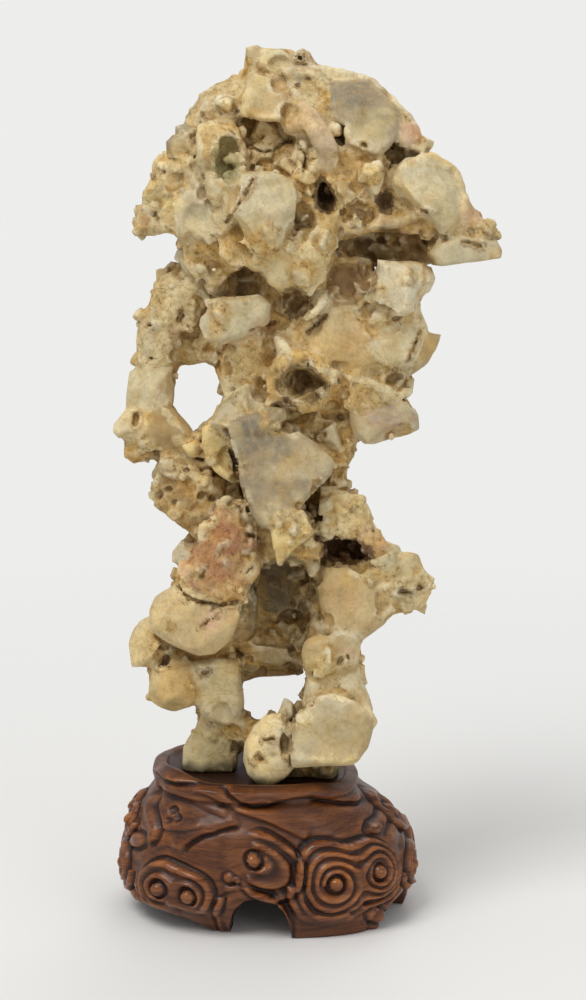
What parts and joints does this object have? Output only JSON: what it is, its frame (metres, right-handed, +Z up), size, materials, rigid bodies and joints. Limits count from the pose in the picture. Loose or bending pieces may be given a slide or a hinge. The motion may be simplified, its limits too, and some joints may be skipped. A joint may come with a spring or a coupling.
{
  "type": "scholar's rock on a carved stand",
  "caption": "Upright, pierced conglomerate rock with an overhanging top, standing in the seat of a low wooden stand carved with cloud scrolls.",
  "frame": {"origin": "on the table under the middle of the whole object's plan, where the stand's feet rest", "axes": "+Z up, -Y towards the viewer of the front, +X to the viewer's right"},
  "size_m": [0.1656, 0.1056, 0.3819],
  "materials": {
    "conglomerate": "rough and porous, with smooth pale broken stones",
    "rosewood": "satin, waxed"
  },
  "bodies": {
    "root": {"rock": "conglomerate", "stand": "rosewood"}
  },
  "joints": []
}
